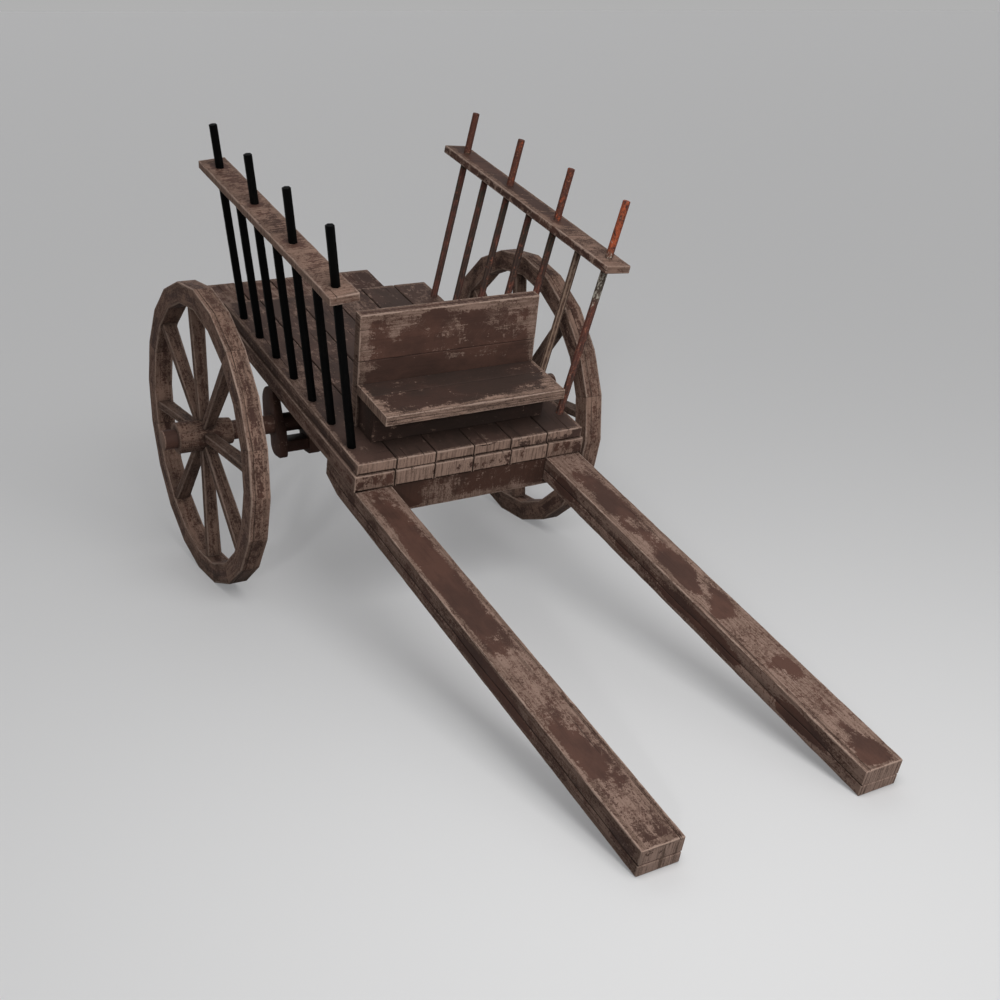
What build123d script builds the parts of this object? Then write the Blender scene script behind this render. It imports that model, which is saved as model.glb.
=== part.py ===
from build123d import *
import math
import os

# A two-wheeled bullock cart, all wood but for the iron stakes of its side racks.
# It is laid out in the deck's own frame: X forward, Y to the left, Z up from the
# deck's top, with X = 0 at the front edge of the deck's upper planks.  At the end
# the whole cart is tipped nose-down until its shaft tips meet the floor.

# ---------------------------------------------------------------- driving sizes, mm

# deck: two layers of lengthwise planks
plank_count = 6
plank_seam = 4.0
upper_width = 1080.0
upper_length = 1546.0
upper_thickness = 52.0
lower_width = 1100.0
lower_thickness = 76.0
lower_front_lip = 8.0
lower_tail = 312.0
short_plank_set_back = 50.0

# shafts and the cross board between them
shaft_width = 168.0
shaft_height = 112.0
shaft_side_inset = 7.0
shaft_reach = 2086.0
shaft_overlap = 283.0
shaft_heel_length = 122.0
shaft_heel_rise = 35.0
cross_board_thickness = 55.0
cross_board_height = 137.0
cross_board_set_back = 0.0

# axle
axle_back = 964.0
axle_drop = 223.0
axle_radius = 44.0
axle_end_past_nave = 62.0
running_clearance = 0.3

# wheels: a rim of straight-sided felloes, eight board spokes, a nave
wheel_spread = 830.0
rim_facets = 20
facets_per_felloe = 2
rim_apothem = 682.0
rim_depth = 96.0
rim_width = 88.0
spoke_count = 8
spoke_thickness = 38.0
spoke_width_at_nave = 50.0
spoke_width_at_rim = 66.0
nave_radius = 71.0
nave_inner_end_radius = 60.0
nave_length = 254.0
nave_outset = 9.0
nave_chamfer = 5.0
tenon_thickness = 22.0
tenon_width = 44.0
tenon_depth = 15.0
shoulder_clearance = 0.3

# hangers that carry the axle under the deck: two cheeks and a keeper a side
cheek_side_inset = 42.0
outer_cheek_thickness = 36.0
inner_cheek_thickness = 52.0
cheek_gap = 110.0
cheek_rear = 112.0
cheek_shoulder_height = 172.0
cheek_shoulder_radius = 85.0
cheek_neck_rear = 22.0
cheek_neck_front = 30.0
cheek_neck_height = 130.0
cheek_waist_front = 62.0
cheek_waist_height = 30.0
cheek_foot_front = 94.0
cheek_foot_rear = 32.0
cheek_foot_top = 20.0
cheek_foot_drop = 148.0
cheek_notch_height = -62.0
cheek_heel_radius = 55.0
cheek_toe_radius = 26.0
cheek_edge_radius = 4.0
keeper_height = 52.0
keeper_front = 82.0
keeper_rear = 20.0
keeper_below_axle = 26.0

# seat: two planks on a box, with a leaning back of planks behind
seat_width = 848.0
seat_height = 196.0
seat_thickness = 45.0
seat_front_set_back = 14.0
seat_front_plank = 176.0
seat_seam = 2.0
seat_back_lean = 4.0
seat_back_set_back = 282.0
seat_back_thickness = 51.0
seat_back_height = 498.0
seat_back_seam_height = 296.0
box_front_set_back = 145.0
box_side_inset = 12.0
box_panel_thickness = 30.0

# side racks: leaning stakes and a rail board on each side
stake_count = 7
stake_sides = 6
left_stake_radius = 17.0
right_stake_radius = 19.0
stake_first = 140.0
stake_pitch = 204.6
stake_foot_spread = 504.0
stake_lean = 9.4
stake_rake = 0.7
stake_fan = 0.48
stake_length = 987.0
stake_length_step = 9.3
stake_hole_clearance = 0.3
rail_height = 717.0
rail_tilt = 4.8
rail_width = 126.0
rail_thickness = 37.0
rail_front_overhang = 84.0
rail_rear_overhang = 113.0
stake_seat_in_rail = 18.0

# ---------------------------------------------------------------- places that follow

deck_depth = upper_thickness + lower_thickness
deck_underside = -deck_depth
lower_front = lower_front_lip
lower_rear = -(upper_length + lower_tail)
short_plank_rear = -(upper_length - short_plank_set_back)
shaft_outer = lower_width / 2 - shaft_side_inset
shaft_inner = shaft_outer - shaft_width
shaft_bottom = deck_underside - shaft_height
axle_x = -axle_back
axle_z = deck_underside - axle_drop
facet_angle = 360 / rim_facets
rim_radius = rim_apothem / math.cos(math.radians(facet_angle / 2))
rim_inner_radius = rim_radius - rim_depth
cheek_outer_face = lower_width / 2 - cheek_side_inset
far = 4000.0

# The wheels' lowest facets and the shafts' lower front edges lie on one floor.
tip_ahead = shaft_reach - axle_x
tip_below = axle_z - shaft_bottom
tip_distance = math.hypot(tip_ahead, tip_below)
park_pitch = math.degrees(math.asin(rim_apothem / tip_distance) - math.atan2(tip_below, tip_ahead))


def block(x_rear, x_front, y_right, y_left, z_low, z_high):
    """A straight-sided block between six planes."""
    size = Box(x_front - x_rear, y_left - y_right, z_high - z_low)
    return Pos((x_rear + x_front) / 2, (y_right + y_left) / 2, (z_low + z_high) / 2) * size


def side_block(x_rear, x_front, y_inner, y_outer, z_low, z_high, side):
    """A block on one side of the cart: side is 1 on the left and -1 on the right."""
    y_right, y_left = sorted((side * y_inner, side * y_outer))
    return block(x_rear, x_front, y_right, y_left, z_low, z_high)


def y_rod(radius, y_from, y_to, x=0.0, z=0.0):
    """A round bar along Y."""
    bar = Rotation(90, 0, 0) * Cylinder(radius, y_to - y_from)
    return Pos(x, (y_from + y_to) / 2, z) * bar


# ---------------------------------------------------------------- racks

def rack_frame(side):
    """The leaning frame of one rack: Z runs up from the deck's top, in the plane of the stakes."""
    return Pos(0, side * stake_foot_spread, 0) * Rotation(-side * stake_lean, 0, 0)


def rake(index):
    """How far a stake leans back: more from one stake to the next, so that they fan out."""
    return stake_rake + index * stake_fan


def foot_place(index):
    return -(stake_first + index * stake_pitch)


def rail_place(index):
    """Where a stake crosses the rail, along the deck."""
    return foot_place(index) - rail_height * math.tan(math.radians(rake(index)))


def stake_top(index):
    """Every other stake passes the rail; the ones between end inside it."""
    if index % 2 == 0:
        return stake_length - index * stake_length_step
    return rail_height - rail_thickness / 2 + stake_seat_in_rail


def stakes(side, clearance):
    """The stakes of one side, six-sided, down past the deck, before their feet are trimmed."""
    radius = left_stake_radius if side > 0 else right_stake_radius
    bars = []
    for index in range(stake_count):
        section = Pos(0, 0, -deck_depth) * RegularPolygon(radius + clearance, stake_sides)
        bar = extrude(section, amount=deck_depth + stake_top(index))
        bars.append(rack_frame(side) * Pos(foot_place(index), 0, 0) * Rotation(0, -rake(index), 0) * bar)
    return bars


def rack_stakes(side):
    above_lower_layer = block(-far, far, -far, far, -upper_thickness, far)
    return Compound(children=[bar & above_lower_layer for bar in stakes(side, 0)])


def rack_rail(side):
    """The rail board, tilted less than the stakes that pass through it."""
    x_front = rail_place(0) + rail_front_overhang
    x_rear = rail_place(stake_count - 1) - rail_rear_overhang
    half_width = rail_width / 2
    half_thickness = rail_thickness / 2
    board = block(x_rear, x_front, -half_width, half_width, -half_thickness, half_thickness)
    board = Pos(0, 0, rail_height) * Rotation(side * (stake_lean - rail_tilt), 0, 0) * board
    board = rack_frame(side) * board
    for bar in stakes(side, stake_hole_clearance):
        board = board - bar
    return board


# ---------------------------------------------------------------- deck

def upper_plank(number):
    pitch = (upper_width + plank_seam) / plank_count
    y_right = -upper_width / 2 + (number - 1) * pitch
    y_left = y_right + pitch - plank_seam
    plank = block(-upper_length, 0, y_right, y_left, -upper_thickness, 0)
    if number in (1, plank_count):
        side = -1 if number == 1 else 1
        for hole in stakes(side, stake_hole_clearance):
            plank = plank - hole
    return plank


def lower_plank(number):
    pitch = (lower_width + plank_seam) / plank_count
    y_right = -lower_width / 2 + (number - 1) * pitch
    y_left = y_right + pitch - plank_seam
    x_rear = short_plank_rear if number == plank_count else lower_rear
    return block(x_rear, lower_front, y_right, y_left, deck_underside, -upper_thickness)


# ---------------------------------------------------------------- shafts

def shaft(side):
    """A shaft with its heel cut up under the deck."""
    heel = -shaft_overlap
    outline = Polyline(
        (heel, deck_underside),
        (shaft_reach, deck_underside),
        (shaft_reach, shaft_bottom),
        (heel + shaft_heel_length, shaft_bottom),
        (heel, shaft_bottom + shaft_heel_rise),
        close=True,
    )
    beam = extrude(Plane.XZ * make_face(outline), amount=shaft_width / 2, both=True)
    return Pos(0, side * (shaft_inner + shaft_width / 2), 0) * beam


def cross_board():
    x_front = -cross_board_set_back
    x_rear = x_front - cross_board_thickness
    z_low = deck_underside - cross_board_height
    return block(x_rear, x_front, -shaft_inner, shaft_inner, z_low, deck_underside)


# ---------------------------------------------------------------- axle and hangers

def axle():
    half = wheel_spread + nave_outset + nave_length / 2 + axle_end_past_nave
    return y_rod(axle_radius, -half, half, axle_x, axle_z)


def cheek_outline():
    """A cheek's outline about the axle, upright when the cart is parked."""
    neck_top = axle_drop + cheek_rear
    corners = [
        (-cheek_rear, cheek_shoulder_height),
        (-cheek_rear, cheek_notch_height),
        (-cheek_foot_rear, cheek_notch_height),
        (-cheek_foot_rear, -cheek_foot_drop),
        (cheek_foot_front, -cheek_foot_drop),
        (cheek_foot_front, -cheek_foot_top),
        (cheek_waist_front, cheek_waist_height),
        (cheek_neck_front, cheek_neck_height),
        (cheek_neck_front, neck_top),
        (-cheek_neck_rear, neck_top),
        (-cheek_neck_rear, cheek_shoulder_height),
    ]
    radii = [cheek_edge_radius] * len(corners)
    radii[0] = cheek_shoulder_radius
    radii[3] = cheek_heel_radius
    radii[4] = cheek_toe_radius
    return FilletPolyline(*corners, radius=radii, close=True)


def cheek(side, inner_face, thickness):
    plate = extrude(Plane.XZ * make_face(cheek_outline()), amount=thickness / 2, both=True)
    plate = Pos(axle_x, 0, axle_z) * Rotation(0, -park_pitch, 0) * plate
    plate = Pos(0, side * (inner_face + thickness / 2), 0) * plate
    under_deck = block(-far, far, -far, far, -far, deck_underside)
    return (plate & under_deck) - y_rod(axle_radius, -far, far, axle_x, axle_z)


def keeper(side):
    """The plank between the cheeks that closes the hanger under the axle."""
    top = -(axle_radius + keeper_below_axle)
    y_outer = cheek_outer_face - outer_cheek_thickness
    plank = side_block(-keeper_rear, keeper_front, y_outer - cheek_gap, y_outer, top - keeper_height, top, side)
    return Pos(axle_x, 0, axle_z) * Rotation(0, -park_pitch, 0) * plank


# ---------------------------------------------------------------- seat

def back_slab(z_low, z_high):
    """Part of the leaning back, between two heights; its front face passes the seat's rear edge."""
    slab = block(-seat_back_thickness, 0, -seat_width / 2, seat_width / 2, -far, far)
    slab = Pos(-seat_back_set_back, 0, 0) * Rotation(0, -seat_back_lean, 0) * slab
    return slab & block(-far, far, -far, far, z_low, z_high)


def in_front_of_back():
    """Everything ahead of the back's front face."""
    space = block(0, far, -far, far, -far, far)
    return Pos(-seat_back_set_back, 0, 0) * Rotation(0, -seat_back_lean, 0) * space


def seat_front_board():
    x_front = -seat_front_set_back
    x_rear = x_front - seat_front_plank
    z_low = seat_height - seat_thickness
    return block(x_rear, x_front, -seat_width / 2, seat_width / 2, z_low, seat_height)


def seat_rear_board():
    x_front = -seat_front_set_back - seat_front_plank - seat_seam
    z_low = seat_height - seat_thickness
    board = block(-far, x_front, -seat_width / 2, seat_width / 2, z_low, seat_height)
    return board & in_front_of_back()


def box_front_panel():
    x_front = -box_front_set_back
    half = seat_width / 2 - box_side_inset
    z_high = seat_height - seat_thickness
    return block(x_front - box_panel_thickness, x_front, -half, half, 0, z_high)


def box_side_panel(side):
    x_front = -box_front_set_back - box_panel_thickness
    y_outer = seat_width / 2 - box_side_inset
    z_high = seat_height - seat_thickness
    panel = side_block(-far, x_front, y_outer - box_panel_thickness, y_outer, 0, z_high, side)
    return panel & in_front_of_back()


# ---------------------------------------------------------------- wheels

def rim_corner(radius, number):
    """A rim corner; the facet below the axle is level."""
    angle = math.radians((number + 0.5) * facet_angle)
    return (radius * math.cos(angle), radius * math.sin(angle))


def felloe(number):
    """One felloe: a straight run of rim for each of its facets."""
    first = number * facets_per_felloe
    steps = range(first, first + facets_per_felloe + 1)
    outer = [rim_corner(rim_radius, step) for step in steps]
    inner = [rim_corner(rim_inner_radius, step) for step in steps]
    outline = Polyline(*outer, *reversed(inner), close=True)
    return extrude(Plane.XZ * make_face(outline), amount=rim_width / 2, both=True)


def felloes(start):
    """Every second felloe, so that the felloes of one set don't touch."""
    count = rim_facets // facets_per_felloe
    return Compound(children=[felloe(number) for number in range(start, count, 2)])


def rim_inside():
    """The space inside the rim's inner facets."""
    corners = [rim_corner(rim_inner_radius, number) for number in range(rim_facets)]
    return extrude(Plane.XZ * make_face(Polyline(*corners, close=True)), amount=rim_width, both=True)


def spoke():
    """A board spoke along X, wider towards the rim, with a tenon for the nave."""
    root = nave_radius + shoulder_clearance
    outline = Polyline(
        (root, -spoke_width_at_nave / 2),
        (rim_radius, -spoke_width_at_rim / 2),
        (rim_radius, spoke_width_at_rim / 2),
        (root, spoke_width_at_nave / 2),
        close=True,
    )
    blade = extrude(make_face(outline), amount=spoke_thickness / 2, both=True)
    return blade + tenon(nave_radius + 2 * shoulder_clearance)


def tenon(outer):
    inner = nave_radius - tenon_depth
    half_width = tenon_width / 2
    half_thickness = tenon_thickness / 2
    return block(inner, outer, -half_width, half_width, -half_thickness, half_thickness)


def around_wheel(shape):
    """Copies of a shape that lies along X, turned about the wheel's axis."""
    return [Rotation(0, k * 360 / spoke_count, 0) * shape for k in range(spoke_count)]


def spokes():
    inside = rim_inside()
    return Compound(children=[blade & inside for blade in around_wheel(spoke())])


def nave(side):
    """The nave, bored for the axle: straight outside the spokes, tapered inside them."""
    bore = axle_radius + running_clearance
    outer_end = nave_outset + nave_length / 2
    inner_end = nave_outset - nave_length / 2
    taper_start = -spoke_width_at_nave / 2
    profile = Polyline(
        (bore, side * outer_end),
        (nave_radius - nave_chamfer, side * outer_end),
        (nave_radius, side * (outer_end - nave_chamfer)),
        (nave_radius, side * taper_start),
        (nave_inner_end_radius, side * inner_end),
        (bore, side * inner_end),
        close=True,
    )
    hub = revolve(make_face(profile), axis=Axis.Y)
    for mortise in around_wheel(tenon(2 * nave_radius)):
        hub = hub - mortise
    return hub


# ---------------------------------------------------------------- the cart, piece by piece

def deck_frame_pieces():
    """The pieces of the cart's body, in the deck's frame."""
    pieces = {}
    for number in range(1, plank_count + 1):
        pieces[f"deck_upper_plank_{number}"] = upper_plank(number)
        pieces[f"deck_lower_plank_{number}"] = lower_plank(number)
    pieces["front_cross_board"] = cross_board()
    pieces["axle"] = axle()
    outer_inside = cheek_outer_face - outer_cheek_thickness
    inner_inside = outer_inside - cheek_gap - inner_cheek_thickness
    for name, side in (("left", 1), ("right", -1)):
        pieces[f"shaft_{name}"] = shaft(side)
        pieces[f"hanger_outer_cheek_{name}"] = cheek(side, outer_inside, outer_cheek_thickness)
        pieces[f"hanger_inner_cheek_{name}"] = cheek(side, inner_inside, inner_cheek_thickness)
        pieces[f"hanger_keeper_{name}"] = keeper(side)
        pieces[f"rack_stakes_{name}"] = rack_stakes(side)
        pieces[f"rack_rail_{name}"] = rack_rail(side)
        pieces[f"seat_box_side_{name}"] = box_side_panel(side)
    pieces["seat_front_board"] = seat_front_board()
    pieces["seat_rear_board"] = seat_rear_board()
    pieces["seat_back_lower_board"] = back_slab(0, seat_back_seam_height)
    pieces["seat_back_upper_board"] = back_slab(seat_back_seam_height, seat_back_height)
    pieces["seat_box_front"] = box_front_panel()
    return pieces


def wheel_pieces(side):
    """The pieces of one wheel, about its own centre."""
    return {"felloes_a": felloes(0), "felloes_b": felloes(1), "spokes": spokes(), "nave": nave(side)}


def parked(shape):
    return Rotation(0, park_pitch, 0) * shape


def cart_pieces():
    """All pieces as the cart is parked, over the middle of the floor space it takes."""
    pieces = {name: parked(shape) for name, shape in deck_frame_pieces().items()}
    hub = parked(Pos(axle_x, 0, axle_z) * Vertex(0, 0, 0)).center()
    for name, side in (("left", 1), ("right", -1)):
        place = Pos(hub.X, side * wheel_spread, hub.Z)
        for piece, shape in wheel_pieces(side).items():
            pieces[f"wheel_{name}_{piece}"] = place * shape
    boxes = [shape.bounding_box() for shape in pieces.values()]
    x_middle = (min(box.min.X for box in boxes) + max(box.max.X for box in boxes)) / 2
    to_floor = Pos(-x_middle, 0, -min(box.min.Z for box in boxes))
    return {name: to_floor * shape for name, shape in pieces.items()}


def main():
    os.makedirs("parts", exist_ok=True)
    for name, shape in cart_pieces().items():
        export_step(shape, f"parts/{name}.step")


main()
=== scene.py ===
import math
import random
from typing import NamedTuple

import bmesh
import bpy
from mathutils import Matrix, Vector, noise


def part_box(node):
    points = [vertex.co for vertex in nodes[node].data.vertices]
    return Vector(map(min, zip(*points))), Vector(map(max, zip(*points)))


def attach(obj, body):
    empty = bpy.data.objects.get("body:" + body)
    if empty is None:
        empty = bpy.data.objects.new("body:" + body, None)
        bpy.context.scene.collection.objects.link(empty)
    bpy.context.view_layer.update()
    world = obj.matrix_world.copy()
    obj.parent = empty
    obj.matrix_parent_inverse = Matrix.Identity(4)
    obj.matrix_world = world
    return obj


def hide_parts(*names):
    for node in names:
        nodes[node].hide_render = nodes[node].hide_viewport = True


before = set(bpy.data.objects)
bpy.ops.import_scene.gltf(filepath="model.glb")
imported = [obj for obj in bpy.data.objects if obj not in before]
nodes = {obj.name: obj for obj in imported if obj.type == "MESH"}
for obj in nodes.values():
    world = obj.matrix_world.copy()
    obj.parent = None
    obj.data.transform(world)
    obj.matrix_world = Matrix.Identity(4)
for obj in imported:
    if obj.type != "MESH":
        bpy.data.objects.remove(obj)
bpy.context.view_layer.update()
scene = bpy.context.scene

# -------- places

# The deck's own frame: X forward from the deck's front edge, Y to the left, Z up from its top.
DECK_PITCH = math.radians(14.9965)
DECK_ORIGIN = (-0.076996, 0, 0.7716)
DECK = Matrix.Translation(DECK_ORIGIN) @ Matrix.Rotation(DECK_PITCH, 4, "Y")
HUB_X = -1.09899
HUB_Z = 0.682
WHEEL_SPREAD = 0.83
SIDES = (("left", 1), ("right", -1))

# Columns that lay a board's length, width and thickness along the axes of a frame.
LENGTH_X = Matrix.Identity(4)
LENGTH_Y = Matrix(((0, -1, 0), (1, 0, 0), (0, 0, 1))).to_4x4()
STANDS_ACROSS = Matrix(((0, 0, 1), (1, 0, 0), (0, 1, 0))).to_4x4()
STANDS_ALONG = Matrix(((1, 0, 0), (0, 0, 1), (0, -1, 0))).to_4x4()
UPWARD = Matrix(((0, 1, 0), (0, 0, 1), (1, 0, 0))).to_4x4()
# The order of a board's axes for a material whose grain lies across it.
ACROSS_GRAIN = (1, 0, 2)
# Outward normals (y, z) of a board's faces.
TOP = (0, 1)
RIGHT = (-1, 0)


# -------- mesh

class Mesh:
    """Points and faces of one piece, with what its material reads at each."""

    def __init__(self):
        self.points, self.loc, self.half, self.cavity, self.rub = [], [], [], [], []
        self.faces, self.seed, self.flat = [], [], []

    def point(self, position, loc, half, cavity=0.0, rub=0.0):
        self.points.append(position)
        self.loc.append(loc)
        self.half.append(half)
        self.cavity.append(cavity)
        self.rub.append(rub)

    def face(self, corners, seed, flat=False):
        self.faces.append(corners)
        self.seed.append(seed)
        self.flat.append(flat)


def drift(x, y, z=0.0):
    """Smooth noise from -1 to 1."""
    return noise.noise(Vector((x, y, z)))


def ease(value, low, high):
    t = min(1.0, max(0.0, (value - low) / (high - low)))
    return t * t * (3 - 2 * t)


class Groove(NamedTuple):
    """A groove or split along a board, on its side 0 (below), 1 (left), 2 (top) or 3 (right).

    One on the left and one on the right with round_end meet across the board's ends.
    """
    side: int
    offset: float
    width: float
    depth: float
    start: float = -10.0
    end: float = 10.0
    fade: float = 0.05
    wander: float = 0.0
    round_end: bool = False


class Notch(NamedTuple):
    """A piece broken off a long edge: it starts at once and runs out slowly over its last part, fade."""
    out: tuple
    start: float
    end: float
    depth: float
    fade: float


def wear(faces):
    """How worn a board is: the places (x, y, reach in x, reach in y, amount) on each face, by its normal."""
    def rub(position, normal):
        total = 0.0
        for out, places in faces.items():
            if normal[0] * out[0] + normal[1] * out[1] < 0.6:
                continue
            across = position[1 if out[1] else 2]
            part = 0.0
            for x, y, reach_x, reach_y, amount in places:
                away = ((position.x - x) / reach_x) ** 2 + ((across - y) / reach_y) ** 2
                part += amount * math.exp(-away * away)
            total += part
        return total
    return rub


def band(mesh, start, around, seed):
    """The faces between one ring of points and the next."""
    for k in range(around):
        a = start + k
        b = start + (k + 1) % around
        mesh.face((a, b, b + around, a + around), seed)


def capped(start, points, grooved):
    """The faces of a board's end: one, or four where a groove runs on across it."""
    ring_face = [start + k for k in range(len(points))]
    if not grooved:
        return [ring_face]
    low, high = [k for k, p in enumerate(points) if p[4] and p[4].round_end and p[5] == 1.0]
    return [
        ring_face[low + 1:high],
        [ring_face[k] for k in (low, low + 1, high - 1, high)],
        [ring_face[k] for k in (low - 1, low, high, high + 1)],
        ring_face[high + 1:] + ring_face[:low],
    ]


def end_splits(draw, half, count, sides=(2, 2, 2, 0), longest=0.16):
    """Short drying splits that run in from a board's ends."""
    splits = []
    for _ in range(count):
        side = draw.choice(sides)
        across = half[1] if side in (0, 2) else half[2]
        end = draw.choice((-1, 1))
        length = draw.uniform(0.4, 1.0) * longest
        offset = draw.uniform(-0.8, 0.8) * (across - 0.012)
        depth = draw.uniform(0.006, 0.011)
        width = draw.uniform(0.0022, 0.004)
        start, stop = (half[0] - length, 10.0) if end > 0 else (-10.0, -half[0] + length)
        splits.append(Groove(side, offset, width, depth, start, stop, length * 0.9, 0.003))
    return splits


def ring(half_y, half_z, radius, pitch, grooves):
    """Points round a board's section.

    Each has y, z, the outward normal, the way along the side, its groove and share of the groove's depth, and
    1 at a rounded corner.
    """
    points = []
    for side in range(4):
        run = half_y if side in (0, 2) else half_z
        level = half_z if side in (0, 2) else half_y
        inside = run - radius
        places = [(-inside, None, 0.0), (inside, None, 0.0)]
        for margin in (0.005, 0.014):
            if inside > margin * 2:
                places += [(-inside + margin, None, 0.0), (inside - margin, None, 0.0)]
        count = max(1, int(2 * inside / pitch))
        places += [(-inside + 2 * inside * k / count, None, 0.0) for k in range(1, count)]
        for cut in grooves:
            if cut.side != side:
                continue
            reach = cut.width / 2
            near = reach + cut.wander + 0.002
            places = [p for p in places if abs(p[0] - cut.offset) > near or abs(abs(p[0]) - inside) < 1e-9]
            for away, share in ((-reach, 0.0), (0.0, 1.0), (reach, 0.0)):
                places.append((cut.offset + away, cut, share))
        places.sort(key=lambda p: p[0])
        angle = math.radians((-90, 0, 90, 180)[side])
        normal = (math.cos(angle), math.sin(angle))
        along = (-normal[1], normal[0])
        for place, cut, share in places:
            y, z = (normal[k] * level + along[k] * place for k in (0, 1))
            points.append((y, z, normal, along, cut, share, 0.0))
        centre = [normal[k] * level + along[k] * inside - normal[k] * radius for k in (0, 1)]
        for step in (1, 2, 3):
            turn = angle + math.radians(22.5 * step)
            out = (math.cos(turn), math.sin(turn))
            y, z = (centre[k] + out[k] * radius for k in (0, 1))
            points.append((y, z, out, (0, 0), None, 0.0, 1.0))
    return points


SHELTER = 0.5
ALL_BARE = ((1, 1), (1, 1), (1, 1))
WAVE = 0.0012
NOTCH_START = 0.02


def worn_sides(position, half, bare):
    """The place and the half size that the material reads, with the sheltered sides moved far away."""
    loc, size = position.copy(), Vector(half)
    for axis, (low, high) in enumerate(bare):
        if not low and not high:
            size[axis] += SHELTER
        elif not low:
            loc[axis] += SHELTER
            size[axis] += SHELTER
        elif not high:
            loc[axis] -= SHELTER
            size[axis] += SHELTER
    return loc, size


def board(mesh, place, half, seed, radius, chips, pitch=0.035, step=0.028, grooves=(), bend=None, stops=(),
          facet_seeds=None, bare=ALL_BARE, grain=(0, 1, 2), rub=None, end_rub=0.0, notches=(), undercut=0.0):
    """A worn board: place lays its length, width and thickness (x, y, z) in the model's frame.

    radius rounds its long edges and chips is how deep they are chipped. pitch and step space its points round
    and along it, stops are places along it that get points too, and bend moves them all. facet_seeds gives
    its parts different finishes. bare says which ends, sides and faces (low, high) wear along their edges,
    and grain which axes the material takes for length, width and thickness. rub is how much more or less a
    place is worn, end_rub the same for both ends, notches are pieces broken off the long edges, and undercut
    is how far the underside rises at the high end.
    """
    points = ring(half[1], half[2], radius, pitch, grooves)
    length = half[0]
    count = max(2, int(2 * length / step))
    inner = [-length + 2 * length * k / count for k in range(1, count)]
    inner = [x for x in inner if all(abs(x - s) > step * 0.35 for s in stops)] + list(stops)
    inner += [-length + 0.01, length - 0.01]
    inner = sorted(x for x in set(inner) if abs(x) < length - radius * 1.2)
    low, high = (radius if worn else radius * 0.35 for worn in bare[0])
    sections = [(-length, low), (-length + low * 0.3, low * 0.3), (-length + low, 0.0)]
    sections += [(x, 0.0) for x in inner]
    sections += [(length - high, 0.0), (length - high * 0.3, high * 0.3), (length, high)]
    first = len(mesh.points)
    around = len(points)
    for x, inset in sections:
        near_end = ease(length - abs(x), 0.012, 0.0)
        for y, z, out, along, cut, share, corner in points:
            position = Vector((x, y, z))
            sunk = inset
            cavity = 0.0
            if cut:
                depth = cut.depth * ease(x, cut.start, cut.start + cut.fade)
                depth *= ease(cut.end - x, 0.0, cut.fade)
                depth *= 0.7 + 0.5 * drift(x * 9, cut.offset * 50, seed)
                shift = cut.wander * drift(x * 4.5, cut.offset * 90, seed + 5)
                position.y += along[0] * shift
                position.z += along[1] * shift
                sunk += share * depth
                # A groove's floor darkens with its depth: partly the dark of a real split or seam, partly
                # painted shade.
                cavity = share * min(1.0, depth / 0.004)
            rough = drift(x * 11 + seed * 3, y * 17, z * 17 + seed)
            sunk += WAVE * 0.5 * (1 - rough)
            if corner:
                bite = drift(x * 14 + y * 40, z * 40, seed * 2.3) + 0.5 * drift(x * 55, y * 60 + z * 70, seed)
                sunk += chips * max(0.0, bite - 0.05)
                for gone in notches:
                    if out[0] * gone.out[0] > 0 and out[1] * gone.out[1] > 0:
                        inside = ease(x, gone.start, gone.start + NOTCH_START)
                        inside *= ease(gone.end - x, 0.0, gone.fade)
                        sunk += inside * gone.depth * (0.75 + 0.5 * drift(x * 30, seed))
            position.y -= out[0] * sunk
            position.z -= out[1] * sunk
            if undercut and out[1] < -0.3:
                position.z += undercut * ease(x, length - 0.014, length - 0.005)
            if cut and cut.round_end and share:
                limit = length - cut.depth
                if abs(x) > limit:
                    position.x = math.copysign(limit + 0.05 * (abs(x) - limit), x)
            if near_end > 0:
                ragged = 0.0004 * (1 + drift(y * 45, z * 45, seed * 4 + (1 if x > 0 else 0)))
                position.x -= math.copysign(ragged * near_end, x)
            loc, size = worn_sides(position, half, bare)
            rubbed = rub(position, out) if rub else 0.0
            if bend:
                position = bend(position)
            if abs(x) == length:
                # A sheltered end is given a little painted shade.
                cavity = 0.0 if bare[0][x > 0] else 0.35
                rubbed = end_rub
            mesh.point(place @ position, [loc[k] for k in grain], [size[k] for k in grain], cavity, rubbed)
    rows = len(sections)
    for row in range(rows - 1):
        middle = (sections[row][0] + sections[row + 1][0]) / 2
        band(mesh, first + row * around, around, facet_seeds(middle) if facet_seeds else seed)
    grooved = any(cut.round_end for cut in grooves)
    for face in capped(first, points, grooved):
        mesh.face(tuple(reversed(face)), seed, True)
    for face in capped(first + (rows - 1) * around, points, grooved):
        mesh.face(tuple(face), seed, True)


BAR_SIDES = 6
BAR_STEP = 0.022
BAR_PITS = 0.0009
BAR_EASING = 0.0016


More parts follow.
